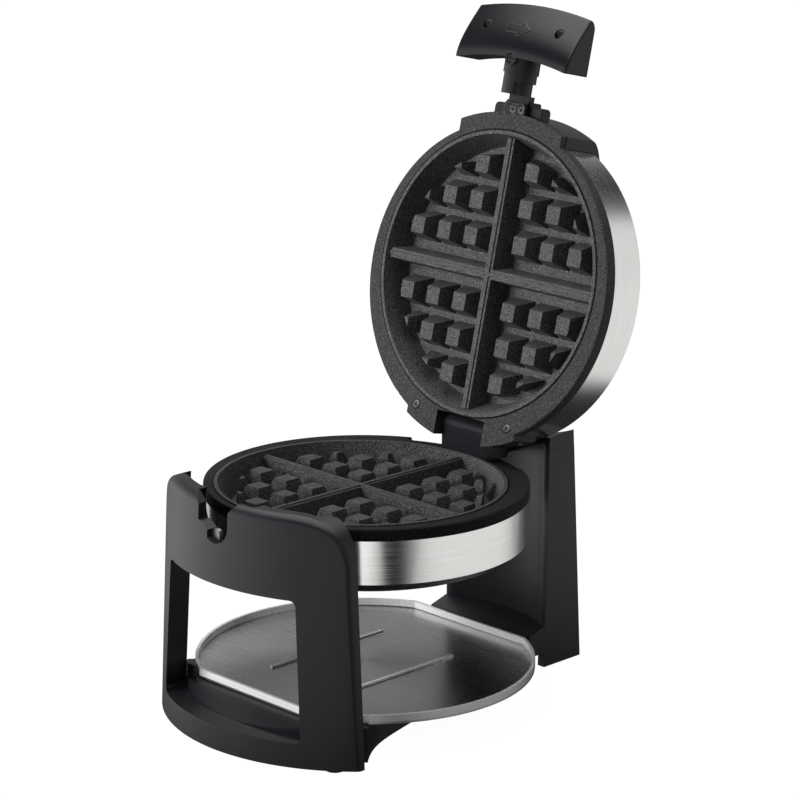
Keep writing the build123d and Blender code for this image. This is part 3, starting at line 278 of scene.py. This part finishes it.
def around_axis(frame_maker):
    """Texture vector for lines that run round an axis."""
    def make(nodes, place):
        parts = nodes.parts(frame_maker(nodes, place))
        angle = nodes.maths("ARCTAN2", parts["Y"], parts["X"])
        vector = {
            "X": nodes.maths("MULTIPLY", parts["Z"], RING_LINES),
            "Y": nodes.maths("MULTIPLY", angle, RING_WAVES),
        }
        return nodes.add("ShaderNodeCombineXYZ", vector).outputs[0]
    return make


def straight_lines(along, across):
    """Texture vector for lines that run along X."""
    def make(nodes, place):
        inputs = {"Vector": place, "Scale": (along, across, across)}
        return nodes.add("ShaderNodeMapping", inputs).outputs[0]
    return make


METAL_GRAIN = 1500.0
METAL_SHADES = [(0.3, 0.85), (0.7, 1.0)]
METAL_SPREAD = 0.15


def plain_metal(name, colour, rough):
    """Machined, plated or rolled metal without a direction."""
    made, nodes, shader, place = new_material(name)
    fine = nodes.noise(place, METAL_GRAIN, FINE_DETAIL)
    nodes.feed(shader, {
        "Base Color": nodes.shades(fine, colour, METAL_SHADES),
        "Roughness": nodes.scatter(fine, rough, METAL_SPREAD),
        "Metallic": 1.0,
    })
    return made


BLACK = (0.0085, 0.0090, 0.0108)
RIM_TINT = (1.0, 1.0, 1.04)
RIM_ROUGH = 0.55
RIM_GRAIN = 0.6
PLATE_TINT = (1.0, 1.0, 1.03)
PLATE_GRAIN = 0.7
BAND_GREY = grey(0.92, (1.0, 0.975, 0.95))
TRAY_GREY = grey(0.57, (1.0, 0.985, 0.97))
# Heights over the tray's floor where its painted highlight on the hem and ribs fades in
TRAY_RAISED = (TRAY_FLOOR_Z + 0.35 * MM, TRAY_FLOOR_Z + 0.9 * MM)
lower_axis = axis_frame(PLATE_CENTRE, 0.0)
lid_axis = axis_frame(opened((0.0, 0.0, 0.0)), LID_ANGLE)

plastic = moulded_plastic("satin black plastic", BLACK, 0.40)
gloss_plastic = moulded_plastic("handle plastic", BLACK, 0.24, grain=0.08)
rubber = moulded_plastic("foot rubber", grey(0.02), 0.75, grain=0.3, grain_size=0.8)
bushing = moulded_plastic("bearing plastic", (0.55, 0.53, 0.47), 0.45)
# Near black painted into the screws' cross recesses, as painted shade
recess_painted_shade = moulded_plastic("recess", grey(0.002), 0.8)
arrow_plastic = moulded_plastic("raised arrow", grey(0.045), 0.30, grain=0.05)
# Lit and shaded copies of one coating: the lower rim and plate are painted darker (painted shade),
# the lid's lighter with more sheen (painted light)
lower_rim_shaded_copy = speckled_coating(
    "textured black rim", grey(0.002), grey(0.036, RIM_TINT),
    RIM_ROUGH, RIM_GRAIN, specular=0.04, axis=lower_axis)
lid_rim_lit_copy = speckled_coating(
    "textured black rim, lid", grey(0.006), grey(0.105, RIM_TINT),
    RIM_ROUGH, RIM_GRAIN, specular=0.16, axis=lid_axis)
lower_plate_shaded_copy = speckled_coating(
    "speckled non-stick", grey(0.006), grey(0.135, PLATE_TINT),
    0.48, PLATE_GRAIN, specular=0.12)
lid_plate_lit_copy = speckled_coating(
    "speckled non-stick, lid", grey(0.007), grey(0.175, PLATE_TINT),
    0.46, PLATE_GRAIN, specular=0.25)
lower_steel = brushed("brushed steel, lower band", BAND_GREY, 0.16, around_axis(lower_axis))
lid_steel = brushed("brushed steel, lid band", BAND_GREY, 0.18, around_axis(lid_axis))
tray_steel = brushed(
    "brushed steel, tray", TRAY_GREY, 0.28, straight_lines(12.0, 1500.0),
    streak=0.3, raised=TRAY_RAISED)
screw_steel = plain_metal("dark plated screw", grey(0.05), 0.40)
coated_screw = plain_metal("coated screw", grey(0.20), 0.45)
bright_screw = plain_metal("bright screw", grey(0.14), 0.34)
pin_steel = plain_metal("turned steel", grey(0.62), 0.22)
rest_steel = plain_metal("dark steel leaf", grey(0.16), 0.26)
aluminium = plain_metal("aluminium sheet", grey(0.72), 0.35)
heater_steel = plain_metal("heat-tinted tube", (0.30, 0.27, 0.25), 0.45)


# Dressing of the frame's nodes, with widths in millimetres and angles in degrees

WELD_REACH = 0.000002
EDGE_ANGLE = 28.0
SHALLOW_EDGE_ANGLE = 16.0
SHARP_ANGLE = 32.0


def soften(thing, width, segments, angle):
    """Rounded edges and even shading on a node, by modifiers that leave its own mesh alone."""
    weld = thing.modifiers.new("weld", "WELD")
    weld.merge_threshold = WELD_REACH
    if width > 0:
        bevel = thing.modifiers.new("edge rounding", "BEVEL")
        bevel.width = width * MM
        bevel.segments = segments
        bevel.limit_method = "ANGLE"
        bevel.angle_limit = math.radians(angle)
        bevel.use_clamp_overlap = True
    split = thing.modifiers.new("sharp edges", "EDGE_SPLIT")
    split.split_angle = math.radians(SHARP_ANGLE)
    weighted = thing.modifiers.new("even shading", "WEIGHTED_NORMAL")
    weighted.keep_sharp = True
    for face in thing.data.polygons:
        face.use_smooth = True


def dress(names, material, width=0.0, segments=2, angle=EDGE_ANGLE):
    for name in names:
        thing = frame["nodes"][name]
        thing.data.materials.clear()
        thing.data.materials.append(material)
        if "custom_normal" in thing.data.attributes:
            thing.data.attributes.remove(thing.data.attributes["custom_normal"])
        soften(thing, width, segments, angle)


dress(["front_support"], plastic, 1.2, segments=3)
dress(["base_frame", "tower_shell", "tower_cap", "tower_rear_cover", "tray_clips"], plastic, 0.7)
dress(["lower_cover", "lid_cover"], plastic, 1.0, segments=3, angle=SHALLOW_EDGE_ANGLE)
dress(["lid_front_cap", "hinge_block", "neck_bracket", "handle_neck"], plastic, 0.5)
dress(["grip_front", "grip_rear"], gloss_plastic, 1.0, segments=3)
dress(["cord_inlet"], plastic, 0.3)
dress(["lower_bezel"], lower_rim_shaded_copy, 0.5)
dress(["lid_bezel"], lid_rim_lit_copy, 0.5)
dress(["lower_grid_plate"], lower_plate_shaded_copy, 0.45)
dress(["lid_grid_plate"], lid_plate_lit_copy, 0.45)
dress(["lower_band"], lower_steel)
dress(["lid_band"], lid_steel)
dress(["drip_tray"], tray_steel, 0.25)
dress(["lid_ear_screws", "neck_screws", "grip_screws"], screw_steel, 0.2)
dress(["neck_rest"], rest_steel, 0.3)
dress(["hinge_pins"], screw_steel, 0.3)
dress(["head_shaft", "shaft_retainer"], pin_steel, 0.3)
dress(["lower_heat_shield", "lid_heat_shield", "lower_thermostat", "lid_thermostat"], aluminium)
dress(["lower_heating_element", "lid_heating_element"], heater_steel)
dress(["rubber_feet"], rubber, 0.4)
dress(["shaft_bushing"], bushing)


# Details on the lid, drawn in the closed lid's place in millimetres from MIDDLE, then opened

def closed_points(name):
    """Points of a lid node in the closed lid's place."""
    thing = frame["nodes"][name]
    for vertex in thing.data.vertices:
        place = thing.matrix_world @ vertex.co
        yield (HINGE + TO_CLOSED @ (place - HINGE) - MIDDLE) / MM


SCREW_REACH = 8.0
FACE_DEPTH = 0.01


def middle_of(values):
    return (min(values) + max(values)) / 2


def head_tops(name):
    """Middle of each screw head's face in a node of parallel screws."""
    groups = []
    for point in closed_points(name):
        for group in groups:
            if (group[0].xy - point.xy).length < SCREW_REACH:
                group.append(point)
                break
        else:
            groups.append([point])
    tops = []
    for group in groups:
        level = min(point.z for point in group)
        face = [point for point in group if point.z < level + FACE_DEPTH]
        across = middle_of([point.x for point in face])
        along = middle_of([point.y for point in face])
        tops.append(Vector((across, along, level)))
    return tops


def ride_lid(name, mesh_data, materials):
    """Make a piece of the lid from a bmesh that is given in the closed lid's place."""
    mesh = bpy.data.meshes.new(name)
    for vertex in mesh_data.verts:
        vertex.co = opened(vertex.co)
    bmesh.ops.recalc_face_normals(mesh_data, faces=mesh_data.faces)
    mesh_data.to_mesh(mesh)
    mesh_data.free()
    for material in materials:
        mesh.materials.append(material)
    thing = bpy.data.objects.new(name, mesh)
    bpy.context.collection.objects.link(thing)
    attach(thing, "lid")


HEAD_R = 2.8
HEAD_SHOULDER_R = 2.45
HEAD_FLAT_R = 1.95
HEAD_RISE = 0.45
HEAD_SHOULDER_RISE = HEAD_RISE * 0.72
HEAD_STEPS = 32
QUARTER_STEPS = 6
CROSS_HALF = 0.42
RECESS_LIFT = 0.03
# Faces in RECESS_SLOT take the near-black painted shade
RECESS_SLOT = 1


def arc(radius, start, end, steps):
    """Points on an arc, both ends included."""
    angles = [start + (end - start) * k / steps for k in range(steps + 1)]
    return [(radius * math.cos(angle), radius * math.sin(angle)) for angle in angles]


def phillips_head(mesh_data, top, turn):
    """Low domed cap with a cross recess, on the flat head whose face is centred on top; the recess
    is painted near black as painted shade.
    """
    def at(x, y, up):
        turned = Matrix.Rotation(turn, 2) @ Vector((x, y))
        return mesh_data.verts.new((top.x + turned.x, top.y + turned.y, top.z - up))

    def ring(radius, up):
        return [at(x, y, up) for x, y in arc(radius, 0, math.tau, HEAD_STEPS)[:-1]]

    gap = math.asin(CROSS_HALF / HEAD_FLAT_R)
    for quarter in range(4):
        start = quarter * math.pi / 2
        inner = Matrix.Rotation(start, 2) @ Vector((CROSS_HALF, CROSS_HALF))
        outer = arc(HEAD_FLAT_R, start + gap, start + math.pi / 2 - gap, QUARTER_STEPS)
        outline = [tuple(inner), *outer]
        mesh_data.faces.new([at(x, y, HEAD_RISE) for x, y in outline])
        for a, b in ((outline[0], outline[1]), (outline[-1], outline[0])):
            wall = [at(*a, HEAD_RISE), at(*b, HEAD_RISE), at(*b, 0), at(*a, 0)]
            mesh_data.faces.new(wall).material_index = RECESS_SLOT

    shoulder = ring(HEAD_SHOULDER_R, HEAD_SHOULDER_RISE)
    edge = ring(HEAD_FLAT_R, HEAD_RISE)
    strips = [
        (ring(HEAD_R, 0), shoulder, 0),
        (shoulder, edge, 0),
        (edge, ring(HEAD_FLAT_R, 0), RECESS_SLOT),
    ]
    for first, second, slot in strips:
        for k in range(HEAD_STEPS):
            n = (k + 1) % HEAD_STEPS
            face = mesh_data.faces.new((first[k], first[n], second[n], second[k]))
            face.material_index = slot
    mesh_data.faces.new(ring(HEAD_FLAT_R, RECESS_LIFT)).material_index = RECESS_SLOT


def add_screw_faces(name, node, metal, turns):
    """Cross-recessed faces on a node's screws from the handle's end on, by the turn of each.

    A turn is in degrees, and None leaves the screw without a face.
    """
    mesh_data = bmesh.new()
    tops = sorted(head_tops(node), key=lambda top: (round(top.y), top.x))
    for top, turn in zip(tops, turns):
        if turn is not None:
            phillips_head(mesh_data, top, math.radians(turn))
    ride_lid(name, mesh_data, [metal, recess_painted_shade])


ARROW = [
    (-11.6, -167.9), (-0.6, -167.9), (-0.6, -170.6), (8.0, -165.4),
    (-1.4, -160.0), (-1.4, -162.6), (-12.2, -162.6),
]
ARROW_LINE = 0.75
ARROW_TOP_SHARE = 0.6
ARROW_RISE = 0.38
ARROW_SINK = 0.1
ARROW_STEP = 0.8
RAY_START_Z = 100.0


def add_arrow():
    """Outline of an arrow raised on the grip, following its face."""
    grip = frame["nodes"]["grip_front"]
    points = [tuple(point) for point in closed_points("grip_front")]
    tree = BVHTree.FromPolygons(points, [tuple(face.vertices) for face in grip.data.polygons])
    mesh_data = bmesh.new()

    def on_face(place, up):
        hit = tree.ray_cast(Vector((place.x, place.y, RAY_START_Z)), Vector((0, 0, 1)))[0]
        return mesh_data.verts.new((place.x, place.y, hit.z - up))

    corners = [Vector(corner) for corner in ARROW]
    for start, end in zip(corners, corners[1:] + corners[:1]):
        along = (end - start).normalized()
        across = Vector((-along.y, along.x)) * ARROW_LINE / 2
        top = across * ARROW_TOP_SHARE
        steps = max(2, int((end - start).length / ARROW_STEP))
        rows = []
        for k in range(steps + 1):
            run = (end - start + along * ARROW_LINE) * k / steps
            place = start - along * ARROW_LINE / 2 + run
            rows.append([
                on_face(place - across, -ARROW_SINK),
                on_face(place - top, ARROW_RISE),
                on_face(place + top, ARROW_RISE),
                on_face(place + across, -ARROW_SINK),
            ])
        for row, following in zip(rows, rows[1:]):
            for k in range(3):
                mesh_data.faces.new((row[k], row[k + 1], following[k + 1], following[k]))
    ride_lid("grip_arrow", mesh_data, [arrow_plastic])


add_screw_faces("ear_screw_faces", "lid_ear_screws", coated_screw, [20, 35])
add_screw_faces("tab_screw_faces", "neck_screws", bright_screw, [None, 10, 32])
add_screw_faces("collar_screw_face", "neck_screws", screw_steel, [10, None, None])
add_screw_faces("grip_screw_faces", "grip_screws", screw_steel, [24, 40])
add_arrow()


# Studio

# Brightness that shiny surfaces see, by azimuth in degrees from the front towards the right
TABLE_LEVELS = [
    (-180, 0.20), (-168, 0.07), (-150, 0.02), (-132, 0.04), (-116, 0.25), (-100, 0.80),
    (-84, 1.70), (-66, 2.15), (-45, 2.25), (-19, 1.95), (0, 1.32), (14, 1.00),
    (30, 1.60), (44, 1.10), (53, 0.85), (57, 0.10), (59, 0.00), (68, 0.00),
    (74, 0.12), (80, 0.50), (88, 0.82), (100, 0.88), (140, 0.89), (155, 0.88),
    (166, 0.70), (175, 0.38),
]
BACKDROP_LEVELS = [
    (-180, 0.16), (-155, 0.36), (-130, 0.42), (-110, 0.50), (-75, 1.40), (-45, 1.40),
    (0, 0.45), (40, 0.45), (75, 0.65), (100, 0.78), (140, 0.84), (160, 0.88),
    (172, 0.40),
]
LEVEL_PEAK = 2.4
DARK_BAND = 0.02
CEILING_LEVEL = 4.2
UNDER_LEVEL = 0.04

# Where one part of the studio passes into the next, by the height of a direction of length 1
TABLE_TO_BACKDROP = (-0.04, 0.10)
BACKDROP_TO_BAND = (0.36, 0.47)
BAND_TO_CEILING = (0.66, 0.79)
UNDER_TO_TABLE = (-0.775, -0.705)


def level_round(nodes, turn, table):
    """Grey level by azimuth, from a table of levels."""
    stops = [(azimuth / 360 + 0.5, grey(level / LEVEL_PEAK)) for azimuth, level in table]
    return nodes.maths("MULTIPLY", nodes.ramp(turn, stops), LEVEL_PEAK)


def blend(nodes, low, high, share):
    """Low where share is 0, high where it is 1."""
    kept = nodes.maths("MULTIPLY", low, nodes.maths("SUBTRACT", 1.0, share))
    return nodes.maths("ADD", kept, nodes.maths("MULTIPLY", high, share))


def surround(nodes, direction):
    """Grey level of the studio in a direction: table, backdrop, dark band, light overhead."""
    parts = nodes.parts(direction)
    angle = nodes.maths("ARCTAN2", parts["X"], nodes.maths("MULTIPLY", parts["Y"], -1.0))
    turn = nodes.maths("ADD", nodes.maths("MULTIPLY", angle, 1 / math.tau), 0.5)

    def share(heights):
        return nodes.map_range(parts["Z"], *heights)

    level = level_round(nodes, turn, TABLE_LEVELS)
    backdrop = level_round(nodes, turn, BACKDROP_LEVELS)
    level = blend(nodes, level, backdrop, share(TABLE_TO_BACKDROP))
    level = blend(nodes, level, DARK_BAND, share(BACKDROP_TO_BAND))
    level = blend(nodes, level, CEILING_LEVEL, share(BAND_TO_CEILING))
    return blend(nodes, UNDER_LEVEL, level, share(UNDER_TO_TABLE))


FLOOR_HALF = 6.0
FLOOR_GREY = (0.9, 0.9, 0.9, 1.0)
FLOOR_ROUGH = 0.8
FLOOR_WHITE = 1.03
FLOOR_BOUNCE = 0.14

# Distances from the middle over which the floor's whiteness and its painted shade in reflections
# change
SHADOW_REACH = (0.08, 0.20)
SHADOW_SHARES = (0.95, 1.0)
REFLECTED_SHADE_REACH = (0.14, 0.38)
REFLECTED_SHADE_LEVELS = (0.27, 1.0)


def floor_surface(nodes, shader):
    """White with a faint contact shadow to the camera, a tinted pane to reflections, darker near
    the middle as a painted shadow and painted reflection of the object.
    """
    distance = nodes.length(nodes.add("ShaderNodeNewGeometry").outputs["Position"])
    whiteness = nodes.map_range(distance, *SHADOW_REACH, *SHADOW_SHARES)
    seen = nodes.mix_shaders(whiteness, shader.outputs[0], nodes.emission(FLOOR_WHITE))
    # Painted shadow and reflection of the object: reflections see the floor darker near the middle
    level = nodes.map_range(distance, *REFLECTED_SHADE_REACH, *REFLECTED_SHADE_LEVELS)
    channels = {"Red": level, "Green": level, "Blue": level}
    tint = nodes.add("ShaderNodeCombineColor", channels).outputs[0]
    pane = nodes.add("ShaderNodeBsdfTransparent", {"Color": tint}).outputs[0]
    rays = nodes.add("ShaderNodeLightPath").outputs
    other = nodes.mix_shaders(rays["Is Glossy Ray"], nodes.emission(FLOOR_BOUNCE), pane)
    return nodes.mix_shaders(rays["Is Camera Ray"], other, seen)


def add_floor():
    mesh = bpy.data.meshes.new("floor")
    half = FLOOR_HALF
    points = [(-half, -half, 0), (half, -half, 0), (half, half, 0), (-half, half, 0)]
    mesh.from_pydata(points, [], [(0, 1, 2, 3)])
    floor = bpy.data.objects.new("floor", mesh)
    bpy.context.collection.objects.link(floor)
    made = bpy.data.materials.new("white table")
    made.use_nodes = True
    tree = made.node_tree
    nodes = Nodes(tree)
    shader = tree.nodes["Principled BSDF"]
    nodes.feed(shader, {
        "Base Color": FLOOR_GREY,
        "Roughness": FLOOR_ROUGH,
        "Specular IOR Level": 0.0,
    })
    nodes.feed(tree.nodes["Material Output"], {"Surface": floor_surface(nodes, shader)})
    mesh.materials.append(made)


PLAIN_LEVEL = 0.08
CAMERA_LEVEL = 0.94


def add_world():
    """The studio to reflections, dim even light to matt surfaces, white to the camera."""
    world = bpy.data.worlds.new("studio")
    bpy.context.scene.world = world
    world.use_nodes = True
    tree = world.node_tree
    tree.nodes.clear()
    nodes = Nodes(tree)
    rays = nodes.add("ShaderNodeLightPath").outputs
    direction = nodes.add("ShaderNodeTexCoord").outputs["Generated"]
    mirrored = nodes.maths("MULTIPLY", surround(nodes, direction), rays["Is Glossy Ray"])
    not_glossy = nodes.maths("SUBTRACT", 1.0, rays["Is Glossy Ray"])
    plain = nodes.maths("MULTIPLY", not_glossy, PLAIN_LEVEL)
    seen = nodes.maths("MULTIPLY", rays["Is Camera Ray"], CAMERA_LEVEL)
    strength = nodes.maths("ADD", nodes.maths("ADD", mirrored, plain), seen)
    background = nodes.add("ShaderNodeBackground", {"Color": WHITE, "Strength": strength})
    nodes.add("ShaderNodeOutputWorld", {"Surface": background.outputs[0]})


LAMP_TARGET = Vector((0, 0, 0.2))


def add_lamp(name, place, side, watts):
    """Square lamp that shiny surfaces don't see."""
    data = bpy.data.lights.new(name, "AREA")
    data.shape = "RECTANGLE"
    data.size = side
    data.size_y = side
    data.energy = watts
    lamp = bpy.data.objects.new(name, data)
    lamp.visible_glossy = False
    bpy.context.collection.objects.link(lamp)
    lamp.location = place
    lamp.rotation_euler = (LAMP_TARGET - Vector(place)).to_track_quat("-Z", "Y").to_euler()


def add_camera():
    back = Vector((
        math.sin(VIEW_AZIMUTH) * math.cos(VIEW_ELEVATION),
        -math.cos(VIEW_AZIMUTH) * math.cos(VIEW_ELEVATION),
        math.sin(VIEW_ELEVATION),
    ))
    right = Vector((math.cos(VIEW_AZIMUTH), math.sin(VIEW_AZIMUTH), 0))
    up = back.cross(right)
    right_rolled = right * math.cos(VIEW_ROLL) + up * math.sin(VIEW_ROLL)
    up_rolled = up * math.cos(VIEW_ROLL) - right * math.sin(VIEW_ROLL)
    turn = Matrix((right_rolled, up_rolled, back)).transposed().to_4x4()
    data = bpy.data.cameras.new("camera")
    data.lens = VIEW_LENS
    data.sensor_width = SENSOR
    data.clip_end = CLIP_END
    camera = bpy.data.objects.new("camera", data)
    bpy.context.collection.objects.link(camera)
    place = VIEW_TARGET + MIDDLE + back * VIEW_DISTANCE
    camera.matrix_world = Matrix.Translation(place) @ turn
    bpy.context.scene.camera = camera


add_floor()
add_world()
add_lamp("key", (-1.1, -1.9, 0.85), 1.0, 70)
add_lamp("fill", (1.9, -0.6, 1.2), 1.4, 2)
add_lamp("top", (0.2, 0.2, 2.0), 1.2, 10)
add_camera()
bpy.context.scene.view_settings.view_transform = "Standard"
